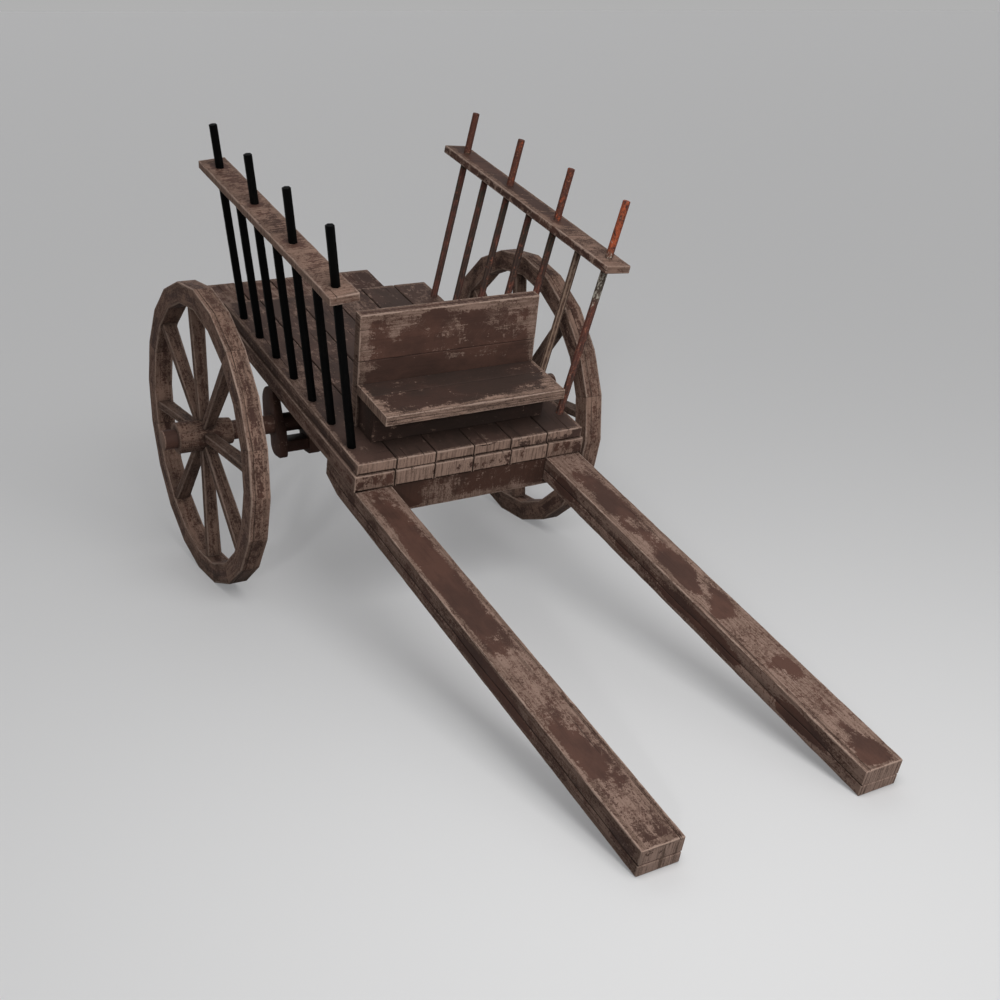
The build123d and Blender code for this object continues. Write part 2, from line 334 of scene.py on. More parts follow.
def rod(mesh, place, length, radius, seed, kind):
    """A bar with flat sides along X, from 0 to length, its corners eased and its skin pitted.

    kind is how much it flakes, how pale its corners are and how fresh its rust is.
    """
    ring_points = []
    for side in range(BAR_SIDES):
        start = 2 * math.pi * side / BAR_SIDES
        end = 2 * math.pi * (side + 1) / BAR_SIDES
        a = Vector((math.cos(start), math.sin(start))) * radius
        b = Vector((math.cos(end), math.sin(end))) * radius
        eased = BAR_EASING / (b - a).length
        for share in (eased, 0.5, 1 - eased):
            ring_points.append(a.lerp(b, share))
    count = max(2, int(length / BAR_STEP))
    sections = [(0.0, 0.9), (BAR_EASING, 1.0)]
    sections += [(length * k / count, 1.0) for k in range(1, count)]
    sections += [(length - BAR_EASING, 1.0), (length - 0.3 * BAR_EASING, 0.94), (length, 0.84)]
    first = len(mesh.points)
    around = len(ring_points)
    for x, scale in sections:
        for k, point in enumerate(ring_points):
            pit = drift(x * 150, point.x * 190, point.y * 190 + seed)
            flat = point * (scale - BAR_PITS / radius * max(0.0, pit))
            loc = (x - length / 2, point.x, point.y)
            corner = 0.0 if k % 3 == 1 else 1.0
            mesh.point(place @ Vector((x, flat.x, flat.y)), loc, kind, corner, x)
    for row in range(len(sections) - 1):
        band(mesh, first + row * around, around, seed)
    last = first + (len(sections) - 1) * around
    mesh.face(tuple(first + k for k in reversed(range(around))), seed, True)
    mesh.face(tuple(last + k for k in range(around)), seed, True)


SHARP_ANGLE = math.radians(32)


def added(name, data):
    """A new object in the scene."""
    made = bpy.data.objects.new(name, data)
    scene.collection.objects.link(made)
    return made


def piece(name, mesh, material, body, replaced, tone=1.0):
    """Makes the object with its finish, brightness and body, and hides the CAD nodes that it stands for."""
    data = bpy.data.meshes.new(name)
    data.from_pydata([tuple(p) for p in mesh.points], [], mesh.faces)
    for key, values in (("loc", mesh.loc), ("half", mesh.half)):
        layer = data.attributes.new(key, "FLOAT_VECTOR", "POINT")
        layer.data.foreach_set("vector", [c for v in values for c in v])
    tones = [tone * (1 + 0.1 * drift(s * 7.7, 3.3)) for s in mesh.seed]
    for key, domain, values in (("cavity", "POINT", mesh.cavity), ("rub", "POINT", mesh.rub),
                                ("seed", "FACE", mesh.seed), ("tone", "FACE", tones)):
        layer = data.attributes.new(key, "FLOAT", domain)
        layer.data.foreach_set("value", values)
    data.set_sharp_from_angle(angle=SHARP_ANGLE)
    data.polygons.foreach_set("use_smooth", [not f for f in mesh.flat])
    data.update()
    data.materials.append(material)
    made = added(name, data)
    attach(made, body)
    if replaced:
        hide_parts(*replaced)


def spread(points):
    """Middle and half size of the box round some points."""
    low = Vector([min(p[k] for p in points) for k in range(3)])
    high = Vector([max(p[k] for p in points) for k in range(3)])
    return (low + high) / 2, (high - low) / 2


def extent(node, place):
    """Middle and half size of a CAD node along the axes of a frame."""
    back = place.inverted()
    return spread([back @ v.co for v in nodes[node].data.vertices])


def laid(node, base, turn):
    """The frame of a board's own length, width and thickness about its middle, and its half size."""
    place = base @ turn
    middle, half = extent(node, place)
    return place @ Matrix.Translation(middle), half


# -------- materials

def colour(red, green, blue):
    """An sRGB colour of 0 to 255 as the shader wants it."""
    def linear(value):
        value /= 255
        return value / 12.92 if value <= 0.04045 else ((value + 0.055) / 1.055) ** 2.4
    return (linear(red), linear(green), linear(blue), 1.0)


class Shader:
    """A material written as sums of sockets and numbers."""

    def __init__(self, name):
        self.material = bpy.data.materials.new(name)
        self.material.use_nodes = True
        self.tree = self.material.node_tree
        self.tree.nodes.clear()
        self.surface = self.add("ShaderNodeBsdfPrincipled")
        output = self.add("ShaderNodeOutputMaterial")
        self.tree.links.new(self.surface.outputs[0], output.inputs[0])

    def add(self, kind, **settings):
        node = self.tree.nodes.new(kind)
        for key, value in settings.items():
            setattr(node, key, value)
        return node

    def feed(self, socket, value):
        if isinstance(value, bpy.types.NodeSocket):
            self.tree.links.new(value, socket)
        else:
            socket.default_value = value

    def put(self, node, **values):
        """Feeds a node's inputs, their names written with _ for a space."""
        for key, value in values.items():
            self.feed(node.inputs[key.replace("_", " ")], value)

    def math(self, operation, *values):
        node = self.add("ShaderNodeMath", operation=operation)
        for socket, value in zip(node.inputs, values):
            self.feed(socket, value)
        return node.outputs[0]

    def times(self, first, second):
        return self.math("MULTIPLY", first, second)

    def sum(self, *terms):
        """The sum of terms, each a socket, a number or a pair (socket, factor)."""
        total = 0.0
        for term in terms:
            if isinstance(term, tuple):
                total = self.math("MULTIPLY_ADD", term[0], term[1], total)
            else:
                total = self.math("ADD", term, total)
        return total

    def vector(self, operation, *values):
        node = self.add("ShaderNodeVectorMath", operation=operation)
        for socket, value in zip(node.inputs, values):
            self.feed(socket, value)
        return node.outputs[0]

    def split(self, vector):
        node = self.add("ShaderNodeSeparateXYZ")
        self.feed(node.inputs[0], vector)
        return node.outputs

    def ramp(self, value, low, high):
        """0 at low and 1 at high, eased."""
        node = self.add("ShaderNodeMapRange", interpolation_type="SMOOTHSTEP")
        ends = (1.0, 0.0) if low > high else (0.0, 1.0)
        self.put(node, Value=value, From_Min=min(low, high), From_Max=max(low, high), To_Min=ends[0],
                 To_Max=ends[1])
        return node.outputs[0]

    def step(self, low, high, *terms):
        """The ramp of a sum."""
        return self.ramp(self.sum(*terms), low, high)

    def mix(self, amount, first, second):
        node = self.add("ShaderNodeMix", data_type="RGBA")
        self.feed(node.inputs["Factor"], amount)
        self.feed(node.inputs[6], first)
        self.feed(node.inputs[7], second)
        return node.outputs[2]

    def attribute(self, name, output="Vector"):
        return self.add("ShaderNodeAttribute", attribute_name=name).outputs[output]

    def noise(self, where, scale, detail=3.0, rough=0.55):
        """Noise from -0.5 to 0.5 at a scale for each axis."""
        node = self.add("ShaderNodeTexNoise")
        where = self.vector("MULTIPLY", where, scale)
        self.put(node, Vector=where, Scale=1.0, Detail=detail, Roughness=rough)
        return self.math("SUBTRACT", node.outputs[0], 0.5)

    def rotated(self, where, angle):
        """The place turned about Z."""
        node = self.add("ShaderNodeVectorRotate", rotation_type="Z_AXIS")
        self.put(node, Vector=where, Angle=angle)
        return node.outputs[0]

    def lines(self, where, scale, width):
        """Thin lines across X at uneven distances."""
        node = self.add("ShaderNodeTexVoronoi", voronoi_dimensions="1D", feature="DISTANCE_TO_EDGE")
        self.put(node, W=where, Scale=scale)
        return self.ramp(node.outputs["Distance"], width, 0.0)

    def bump(self, height, distance, strength):
        node = self.add("ShaderNodeBump")
        self.put(node, Height=height, Distance=distance, Strength=strength)
        self.put(self.surface, Normal=node.outputs[0])


PATINA = colour(73, 52, 45)
PATINA_RED = colour(88, 62, 53)
PALE = colour(141, 117, 105)
PALE_WARM = colour(142, 115, 101)
PALE_GREY = colour(112, 91, 80)
BRIGHT = colour(163, 140, 127)
CUT = colour(154, 128, 114)
DARK = colour(38, 27, 22)
# The colour of the painted shade in corners and recesses.
PAINTED_SHADE_COLOUR = colour(38, 31, 27)


def wood(name, bare, crossing, scuffs=0.25, arris=0.007, dotted=0.5, painted_shade=0.62, sawn=CUT, patina=PATINA,
         red=PATINA_RED, pale=PALE, streaks=(0.15, 0.4)):
    """Weathered wood: a red-brown skin worn through to pale wood, most of all along the edges.

    bare is how much is worn away, crossing how strong its dark cross scores are, scuffs its thin scratches,
    arris how wide its pale edges are, dotted how speckled its pale wood is, and painted_shade how much
    painted shade darkens its corners and recesses. sawn, patina, red and pale are its colours, and streaks
    how far wear follows and crosses the grain.
    """
    s = Shader(name)
    loc = s.attribute("loc")
    seed = s.attribute("seed", "Fac")
    tone = s.attribute("tone", "Fac")
    cavity = s.attribute("cavity", "Fac")
    offset = s.add("ShaderNodeCombineXYZ")
    for socket, factor in zip(offset.inputs, (7.31, 3.17, 5.73)):
        s.feed(socket, s.times(seed, factor))
    here = s.vector("ADD", loc, offset.outputs[0])
    gap = s.split(s.vector("SUBTRACT", s.attribute("half"), s.vector("ABSOLUTE", loc)))
    lower = s.math("MINIMUM", gap[0], gap[1])
    upper = s.math("MAXIMUM", gap[0], gap[1])
    edge = s.math("MAXIMUM", lower, s.math("MINIMUM", upper, gap[2]))

    rub = s.attribute("rub", "Fac")
    broad = s.noise(here, (2.1, 2.6, 2.6), 2)
    middle = s.noise(here, (8, 14, 14), 4, 0.6)
    patch = s.noise(here, (16, 25, 25), 7, 0.72)
    fine = s.noise(here, (110, 170, 170), 4, 0.65)
    grain = s.noise(here, (4, 130, 130), 3, 0.6)
    cross = s.noise(here, (120, 17, 17), 3, 0.6)
    speck = s.noise(here, (240, 280, 280), 2, 0.7)
    dots = s.noise(here, (62, 80, 80), 3, 0.68)

    near = s.step(0.03, 0.006, edge, (patch, 0.075), (broad, 0.05))
    rim = s.step(arris, 0.0012, edge, (fine, 0.014), (middle, 0.02), (patch, 0.02), (broad, 0.006))
    scuff_left = s.noise(s.rotated(here, 0.5), (14, 330, 330), 2, 0.5)
    scuff_right = s.noise(s.rotated(here, -0.9), (11, 290, 290), 2, 0.5)
    scuff = s.math("MAXIMUM", scuff_left, scuff_right)
    scuff = s.step(0.19, 0.25, scuff, (middle, 0.45), (broad, 0.35), rub)
    score = s.sum((patch, 1.35), (broad, 0.6), (grain, streaks[0]), (cross, streaks[1]), (dots, 0.55),
                  (fine, 0.4), (near, 0.34), (rim, 0.2), bare, rub)
    worn = s.math("MAXIMUM", s.ramp(score, 0.0, 0.05), s.times(scuff, scuffs))

    skin = s.mix(s.step(-0.12, 0.12, broad, (middle, 0.6)), patina, red)
    skin = s.mix(s.times(s.step(0.0, -0.25, grain, (middle, 0.7)), 0.16), skin, DARK)
    light = s.mix(s.step(0.1, -0.16, grain, (middle, 0.6), (near, -0.1)), pale, PALE_GREY)
    light = s.mix(s.step(0.08, 0.18, speck, (fine, 0.7), (middle, -0.4)), light, skin)
    dotting = s.step(0.055, 0.105, dots, (fine, 0.35), (middle, -0.45), (rim, -0.1))
    light = s.mix(s.times(dotting, dotted), light, skin)
    light = s.mix(s.times(rim, 0.85), light, BRIGHT)
    face = s.mix(worn, skin, light)

    streak = s.noise(here, (0, 115, 6), 4, 0.7)
    stain = s.noise(here, (0, 20, 11), 3, 0.6)
    brown = s.sum((stain, 1.2), patch, (streak, 0.35), (fine, 0.6), (near, -0.12), (rub, -1.0), -0.12)
    brown = s.ramp(brown, -0.02, 0.1)
    cut = s.mix(s.step(0.05, -0.12, streak, (fine, 0.3)), sawn, PALE_GREY)
    cut = s.mix(brown, cut, skin)
    cut = s.mix(s.times(s.ramp(streak, -0.11, -0.17), 0.4), cut, DARK)
    cut = s.mix(s.times(rim, 0.8), cut, BRIGHT)
    face = s.mix(s.ramp(gap[0], 0.0045, 0.003), face, cut)

    along = s.split(here)[0]
    waver = s.noise(here, (9, 9, 9), 2)
    scored = s.lines(s.sum(along, (waver, 0.05)), 8.5, 0.022)
    broken = s.step(-0.02, 0.08, middle, (fine, 0.3))
    scored = s.times(s.times(scored, broken), crossing)
    hair = s.ramp(s.noise(here, (260, 7, 7), 2, 0.6), 0.15, 0.2)
    hair = s.times(hair, s.ramp(broad, -0.02, 0.1))
    check = s.ramp(s.noise(here, (1.6, 70, 70), 2, 0.5), -0.205, -0.235)
    line = s.math("MAXIMUM", scored, s.times(hair, 0.45))
    line = s.math("MAXIMUM", line, s.times(check, 0.75))
    face = s.mix(s.times(line, 0.8), face, DARK)
    # Painted shade, partly the dark of real seams and splits: groove floors darken with their depth,
    # sheltered ends a little.
    face = s.mix(s.ramp(cavity, 0.08, 0.75), face, DARK)
    # Painted shade: corners and recesses are darkened by their ambient occlusion, broken up a little by
    # noise.
    nook = s.add("ShaderNodeAmbientOcclusion", samples=6)
    nook.inputs["Distance"].default_value = 0.22
    painted_shade_mask = s.step(0.92, 0.25, nook.outputs["AO"], (middle, 0.25))
    face = s.mix(s.times(painted_shade_mask, painted_shade), face, PAINTED_SHADE_COLOUR)
    shade = s.add("ShaderNodeHueSaturation")
    s.put(shade, Value=tone, Color=face)
    roughness = s.sum((worn, 0.14), (fine, 0.2), 0.7)
    s.put(s.surface, Base_Color=shade.outputs[0], Roughness=roughness, Specular_IOR_Level=0.15)
    height = s.sum((worn, -0.3), (grain, 0.5), (fine, 0.5), (speck, 0.3), (line, -0.9), (middle, 0.6))
    s.bump(height, 0.0012, 0.6)
    return s.material


def black_iron(name):
    """Blackened iron, dull, with a little scale."""
    s = Shader(name)
    here = s.vector("ADD", s.attribute("loc"), s.attribute("seed", "Fac"))
    scale = s.noise(here, (60, 140, 140), 4, 0.6)
    broad = s.noise(here, (5, 30, 30), 3)
    base = s.mix(s.step(0.02, 0.22, scale, (broad, 0.8)), colour(4, 4, 4), colour(12, 11, 10))
    s.put(s.surface, Base_Color=base, Roughness=s.sum((scale, 0.5), 0.62), Specular_IOR_Level=0.04)
    s.bump(s.sum(scale, (broad, 0.5)), 0.001, 0.7)
    return s.material


def rusty_iron(name):
    """Rusted iron: orange above the rail, brown-red below, with bare and flaking places."""
    s = Shader(name)
    seed = s.attribute("seed", "Fac")
    height = s.attribute("rub", "Fac")
    corner = s.attribute("cavity", "Fac")
    flaking, pale, fresh = s.split(s.attribute("half"))[:3]
    here = s.vector("ADD", s.attribute("loc"), s.vector("MULTIPLY", seed, (3.7, 1.9, 2.3)))
    blotch = s.noise(here, (28, 60, 60), 5, 0.68)
    patch = s.noise(here, (5, 9, 9), 3)
    grit = s.noise(here, (105, 135, 135), 4, 0.75)

    red = s.step(-0.1, 0.12, patch, (blotch, 0.9), (fresh, 0.1))
    base = s.mix(red, colour(60, 46, 41), colour(92, 55, 47))
    base = s.mix(s.step(0.1, 0.2, grit, (blotch, 0.8), (fresh, 0.05)), base, colour(138, 84, 66))
    # Painted shade: a dull grey band on the stakes just beneath the rail, where the rail shades them.
    under = s.times(s.step(0.52, 0.7, height, (patch, 0.25)), s.ramp(red, 1.0, 0.3))
    base = s.mix(s.times(under, 0.7), base, colour(62, 58, 49))

    middle = s.mix(s.step(-0.06, 0.12, blotch, (grit, 0.6)), colour(78, 58, 50), colour(110, 88, 75))
    base = s.mix(s.times(pale, s.ramp(height, 0.76, 0.7)), base, middle)
    line = s.step(0.5, 0.86, corner, (blotch, 1.2))
    base = s.mix(s.times(line, s.sum((pale, 0.7), 0.1)), base, colour(150, 127, 110))

    above = s.step(0.785, 0.797, height, (blotch, 0.03))
    glow = s.step(0.06, 0.4, (grit, 1.1), (blotch, 1.2), (fresh, 0.26))
    orange = s.mix(glow, colour(86, 52, 42), colour(172, 86, 54))
    orange = s.mix(s.step(0.09, 0.18, grit, (blotch, -0.6)), orange, colour(150, 104, 82))
    orange = s.mix(s.step(-0.06, -0.15, (grit, 0.7), blotch), orange, colour(74, 44, 38))
    base = s.mix(above, base, orange)

    place = s.times(s.ramp(height, 0.56, 0.62), s.ramp(height, 0.84, 0.8))
    flake = s.step(0.01, 0.06, (grit, 0.5), blotch, (place, 0.16), -0.16)
    flake = s.times(flake, flaking)
    base = s.mix(s.times(s.times(place, flaking), 0.6), base, colour(84, 76, 68))
    base = s.mix(flake, base, colour(176, 170, 157))
    base = s.mix(s.ramp(grit, -0.1, -0.2), base, colour(48, 30, 27))
    s.put(s.surface, Base_Color=base, Roughness=s.sum((blotch, 0.3), 0.84), Specular_IOR_Level=0.25)
    s.bump(s.sum(blotch, (grit, 0.6), (flake, 0.3)), 0.0016, 0.8)
    return s.material


deck_wood = wood("weathered_deck_wood", bare=-0.1, crossing=0.9, patina=colour(71, 55, 49),
                 red=colour(82, 62, 55))
deck_under_wood = wood("weathered_under_deck_wood", bare=-0.03, crossing=0.2)
seat_wood = wood("weathered_seat_wood", bare=-0.16, crossing=0.15)
# The seat's wood has a darker patina: partly its own colour, partly painted shade on the seat top and the box
# beneath.
bench_wood = wood("weathered_bench_wood", bare=-0.16, crossing=0.1, patina=colour(62, 49, 44),
                  red=colour(70, 52, 46), pale=CUT)
# The shafts' wood takes less painted shade in its corners and recesses.
frame_wood = wood("weathered_frame_wood", bare=-0.08, crossing=0.1, scuffs=0.6, dotted=0.8, painted_shade=0.2,
                  sawn=colour(180, 152, 138))
gear_wood = wood("weathered_gear_wood", bare=-0.13, crossing=0.1, scuffs=0.4)
board_wood = wood("weathered_board_wood", bare=-0.2, crossing=0.1, patina=colour(66, 46, 38),
                  red=colour(76, 52, 43))
rail_wood = wood("weathered_rail_wood", bare=0.0, crossing=0.0, arris=0.009, dotted=0.8,
                 streaks=(0.7, 0.1), pale=PALE_WARM)
wheel_wood = wood("weathered_wheel_wood", bare=0.07, crossing=0.1, arris=0.009, dotted=0.85, pale=PALE_WARM)
black = black_iron("blackened_iron")
rust = rusty_iron("rusted_iron")

# -------- deck

# How much more the ends of each layer's planks are worn, and its wood.
END_WEAR = {"upper": (0.05, 0.1, 0.04, 0.04, -0.15, -0.27), "lower": (-0.26, 0.08, 0.02, -0.06, 0.04, -0.2)}
LAYER_WOOD = {"upper": deck_wood, "lower": deck_under_wood}
FRONT_SHADE = wear({TOP: [(0.75, 0, 0.3, 1, -0.1)]})
UNDERCUT = 0.006

draw = random.Random(7)
for number in range(1, 7):
    for layer in ("upper", "lower"):
        node = f"deck_{layer}_plank_{number}"
        place, half = laid(node, DECK, LENGTH_X)
        upper = layer == "upper"
        cuts = end_splits(draw, half, 3, (2, 2, 2, 2) if upper else (2, 2, 2, 0))
        if upper:
            offset = draw.uniform(-0.5, 0.5) * half[1]
            start = -half[0] * draw.uniform(0.2, 0.9)
            end = half[0] * draw.uniform(-0.1, 0.5)
            cuts.append(Groove(2, offset, 0.003, 0.004, start, end, 0.12, 0.006))
        mesh = Mesh()
        board(mesh, place, half, number * 1.7 + (0 if upper else 31), 0.004, 0.0045, grooves=cuts,
              bare=((1, 1), (number == 1, number == 6), (0 if upper else 1, 1)), rub=FRONT_SHADE,
              end_rub=END_WEAR[layer][number - 1], undercut=UNDERCUT)
        piece(f"{layer}_plank_{number}", mesh, LAYER_WOOD[layer], "cart", [node])

# -------- seat

BACK_LEAN = math.radians(4.0)


def lean(place):
    """Leans a back board's points with the back; place is the board's own frame."""
    to_deck = DECK.inverted() @ place
    to_board = to_deck.inverted()

    def bend(position):
        there = to_deck @ position
        there.x -= math.tan(BACK_LEAN) * there.z
        return to_board @ there
    return bend


def back_board(node):
    """The frame and half size of a back board stood upright, before it leans."""
    back = DECK.inverted()
    to_upright = STANDS_ACROSS.inverted()
    points = []
    for vertex in nodes[node].data.vertices:
        there = back @ vertex.co
        there.x += math.tan(BACK_LEAN) * there.z
        points.append(to_upright @ there)
    middle, half = spread(points)
    return DECK @ STANDS_ACROSS @ Matrix.Translation(middle), half


UPPER_WEAR = wear({TOP: [
    (-0.41, 0, 0.035, 0.3, 0.42), (-0.36, 0.09, 0.07, 0.02, 0.25), (-0.2, 0.095, 0.1, 0.012, 0.2),
    (-0.08, 0.08, 0.05, 0.04, -0.25), (0.23, 0.09, 0.22, 0.022, 0.36), (0.3, 0.06, 0.12, 0.04, 0.2),
    (0.41, 0, 0.03, 0.3, 0.42), (0, 0.03, 0.05, 0.05, 0.22), (0.02, -0.02, 0.08, 0.03, 0.12),
    (0.19, 0.02, 0.06, 0.05, 0.2), (0.27, -0.03, 0.05, 0.045, 0.16), (-0.22, 0.05, 0.1, 0.035, 0.2),
    (-0.28, 0.01, 0.05, 0.03, 0.14), (0.35, -0.03, 0.03, 0.04, 0.15), (-0.15, -0.05, 0.18, 0.03, -0.1)]})
LOWER_WEAR = wear({TOP: [
    (0.03, 0.11, 0.05, 0.03, 0.16), (-0.41, 0.09, 0.035, 0.07, 0.4), (-0.36, 0.12, 0.04, 0.03, 0.18),
    (0.41, 0.1, 0.025, 0.1, 0.3), (0.1, 0.03, 0.6, 0.07, -0.2), (-0.15, 0.12, 0.12, 0.03, -0.06)]})

# The lower back board's tone of 0.85 is painted shade: the back is darker towards its bottom.
for node, seed, edges, cuts, rub, tone in (
    ("seat_back_upper_board", 51.3, (0, 1), [Groove(1, 0.006, 0.0045, 0.004, wander=0.004)], UPPER_WEAR, 1.0),
    ("seat_back_lower_board", 55.9, (0, 0), [], LOWER_WEAR, 0.85),
):
    place, half = back_board(node)
    mesh = Mesh()
    board(mesh, place, half, seed, 0.003, 0.0045, grooves=cuts + end_splits(draw, half, 2),
          bend=lean(place), bare=((1, 1), edges, (1, 1)), rub=rub)
    piece(node.replace("seat_", ""), mesh, seat_wood, "cart", [node], tone=tone)

SHELTERED = ((0, 0), (0, 0), (0, 0))
SEAT_WEAR = wear({
    TOP: [
        (0, -0.085, 0.9, 0.022, 0.2), (0.22, -0.06, 0.25, 0.022, 0.26), (0.4, -0.01, 0.05, 0.06, 0.26),
        (0.3, -0.01, 0.08, 0.05, 0.1), (-0.41, 0, 0.02, 0.2, 0.15), (-0.05, 0.02, 0.04, 0.03, 0.08),
        (-0.2, 0.02, 0.16, 0.05, -0.12), (0.15, 0.04, 0.2, 0.05, -0.12)],
    RIGHT: [
        (0, 0, 2, 1, 0.3), (-0.38, 0, 0.03, 0.02, -0.2), (0.06, 0.005, 0.03, 0.01, -0.2),
        (0.18, -0.01, 0.03, 0.01, -0.15)],
})
SEAM = Groove(3, 0.002, 0.004, 0.004, wander=0.007)
for node, turn, seed, bare, cuts in (
    ("seat_front_board", LENGTH_Y, 61.1, ((1, 1), (1, 0), (1, 1)), [SEAM]),
    ("seat_rear_board", LENGTH_Y, 64.7, ((1, 1), (0, 0), (1, 1)), []),
    ("seat_box_front", STANDS_ACROSS, 67.3, SHELTERED, []),
    ("seat_box_side_left", STANDS_ALONG, 69.9, SHELTERED, []),
    ("seat_box_side_right", STANDS_ALONG, 71.7, SHELTERED, []),
):
    place, half = laid(node, DECK, turn)
    mesh = Mesh()
    front = node == "seat_front_board"
    board(mesh, place, half, seed, 0.003, 0.005 if front else 0.003, grooves=cuts,
          bare=bare, rub=SEAT_WEAR if front else None)
    piece(node.replace("seat_", "bench_"), mesh, bench_wood, "cart", [node])

# -------- shafts and cross board

HEEL_LENGTH = 0.122
HEEL_RISE = 0.035


def heel(half):
    """Cuts the shaft's rear end up under the deck."""
    def bend(position):
        share = min(1.0, max(0.0, (position.x + half[0]) / HEEL_LENGTH))
        depth = (half[2] - position.z) / (2 * half[2])
        position.z += depth * HEEL_RISE * (1 - share)
        return position
    return bend


SHAFT_TOP_WEAR = {
    "left": [
        (0.2, 0, 3, 1, 0.2), (0.2, -0.078, 3, 0.022, 0.15), (0.2, 0.078, 3, 0.02, 0.12),
        (-0.49, 0, 0.12, 0.058, -0.46), (-0.69, -0.01, 0.09, 0.05, -0.3), (-0.33, -0.045, 0.06, 0.025, -0.28),
        (-0.22, 0, 0.08, 0.03, -0.26), (-0.05, 0.025, 0.13, 0.032, -0.34), (-0.07, -0.03, 0.07, 0.03, -0.34),
        (0.08, -0.03, 0.085, 0.036, -0.46), (0.2, 0.045, 0.055, 0.028, -0.4), (0.27, 0, 0.062, 0.05, -0.46),
        (0.3, -0.05, 0.035, 0.02, -0.3), (0.65, 0.012, 0.07, 0.052, -0.44), (0.62, -0.045, 0.03, 0.02, -0.3),
        (0.8, 0.03, 0.05, 0.012, -0.2), (0.88, 0, 0.04, 0.012, -0.2), (0.99, 0, 0.04, 0.02, -0.2),
        (1.11, 0, 0.075, 0.072, -0.46)],
    "right": [
        (0.2, 0, 3, 1, 0.1), (0.2, 0.075, 3, 0.02, 0.22), (-0.36, -0.012, 0.46, 0.06, -0.42),
        (-0.66, -0.068, 0.19, 0.022, 0.3), (0.33, 0, 0.24, 0.075, 0.06), (0.06, 0.02, 0.05, 0.03, -0.16),
        (0.18, -0.035, 0.05, 0.03, -0.14), (0.5, 0, 0.03, 0.05, -0.12), (0.62, -0.04, 0.05, 0.04, -0.14),
        (0.72, -0.03, 0.1, 0.05, -0.26), (0.8, -0.01, 0.06, 0.055, -0.22), (0.9, 0.035, 0.03, 0.018, -0.3),
        (1.02, 0, 0.12, 0.07, 0.08)],
}
SHAFT_SIDE_WEAR = {
    "left": [
        (0.2, 0, 3, 1, 0.16), (-0.74, 0, 0.08, 0.05, -0.4), (-0.28, -0.01, 0.05, 0.028, -0.26),
        (-0.07, 0, 0.04, 0.02, -0.2), (0.07, -0.025, 0.08, 0.03, -0.35), (0.28, 0, 0.19, 0.034, -0.44),
        (0.45, -0.01, 0.06, 0.03, -0.3), (0.83, -0.008, 0.12, 0.044, -0.46), (0.2, 0.05, 3, 0.012, 0.15)],
    "right": [
        (0.2, 0, 3, 1, 0.14), (0.26, 0.004, 0.16, 0.055, -0.44), (0.45, -0.02, 0.1, 0.03, -0.28),
        (0.05, -0.02, 0.06, 0.03, -0.15), (-0.24, 0, 0.05, 0.03, -0.16), (-0.4, 0.02, 0.03, 0.03, -0.16),
        (0.2, 0.05, 3, 0.012, 0.15)],
}
# How much more the shafts' ends are worn, how bright the shafts are, and their side grooves' width and depth.
SHAFT_ENDS = {"left": 0.34, "right": 0.04}
SHAFT_TONE = {"left": 1.02, "right": 0.94}
SIDE_GROOVE = {"left": (0.009, 0.0045), "right": (0.01, 0.006)}

for name, side in SIDES:
    node = f"shaft_{name}"
    place, half = laid(node, DECK, LENGTH_X)
    mesh = Mesh()
    width, depth = SIDE_GROOVE[name]
    cuts = [
        Groove(1, -0.006, width, depth, wander=0.006, round_end=True),
        Groove(3, 0.006, width, depth, wander=0.006, round_end=True),
        Groove(2, 0.064 * side, 0.004, 0.003, -0.1, 10.0, 0.3, wander=0.003),
        Groove(2, 0.07 * side, 0.003, 0.003, 0.0, 10.0, 0.2, wander=0.002),
    ]
    cuts += end_splits(draw, half, 2, (2, 0), 0.3)
    board(mesh, place, half, 81.0 + side * 3, 0.0035, 0.005, pitch=0.026, grooves=cuts,
          bend=heel(half), stops=(-half[0] + HEEL_LENGTH,), end_rub=SHAFT_ENDS[name],
          rub=wear({TOP: SHAFT_TOP_WEAR[name], RIGHT: SHAFT_SIDE_WEAR[name]}),
          notches=[Notch((-1, 1), 0.09, 0.45, 0.008, 0.3)] if side < 0 else [])
    piece(f"draught_shaft_{name}", mesh, frame_wood, "cart", [node], tone=SHAFT_TONE[name])

# Painted shade: the cross board and its tongues are darkened, as under the deck's front edge.
CROSS_SHADE_TONE = 0.85
CROSS_BARE = ((0, 0), (1, 0), (1, 1))
CROSS_WEAR = wear({TOP: [
    (-0.13, 0, 0.1, 0.09, 0.2), (-0.21, -0.01, 0.02, 0.06, 0.12), (0.12, -0.058, 0.22, 0.016, 0.3),
    (-0.15, -0.06, 0.12, 0.014, 0.2), (0.22, -0.02, 0.05, 0.03, 0.16), (-0.3, 0, 0.06, 0.1, -0.2)]})
TONGUE_HALF_LENGTH = 0.042
TONGUE_OUT = 0.04

place, half = laid("front_cross_board", DECK, STANDS_ACROSS)
mesh = Mesh()
board(mesh, place, half, 91.7, 0.003, 0.004, bare=CROSS_BARE, grain=ACROSS_GRAIN, rub=CROSS_WEAR)
piece("cross_board", mesh, board_wood, "cart", ["front_cross_board"], tone=CROSS_SHADE_TONE)

# The cross board's lower edge runs on under the shafts.
cross_middle, cross_half = extent("front_cross_board", DECK)
shaft_middle, shaft_half = extent("shaft_left", DECK)
top = shaft_middle.z - shaft_half.z - 0.001
bottom = cross_middle.z - cross_half.z
mesh = Mesh()
for side in (-1, 1):
    middle = Vector((cross_middle.x, side * (cross_half.y + TONGUE_OUT), (top + bottom) / 2))
    half = Vector((TONGUE_HALF_LENGTH, (top - bottom) / 2, cross_half.x - 0.001))
    place = DECK @ Matrix.Translation(middle) @ STANDS_ACROSS
    board(mesh, place, half, 94.0 + side, 0.003, 0.003, bare=CROSS_BARE, grain=ACROSS_GRAIN)
piece("cross_board_tongues", mesh, board_wood, "cart", [], tone=CROSS_SHADE_TONE)

# -------- racks

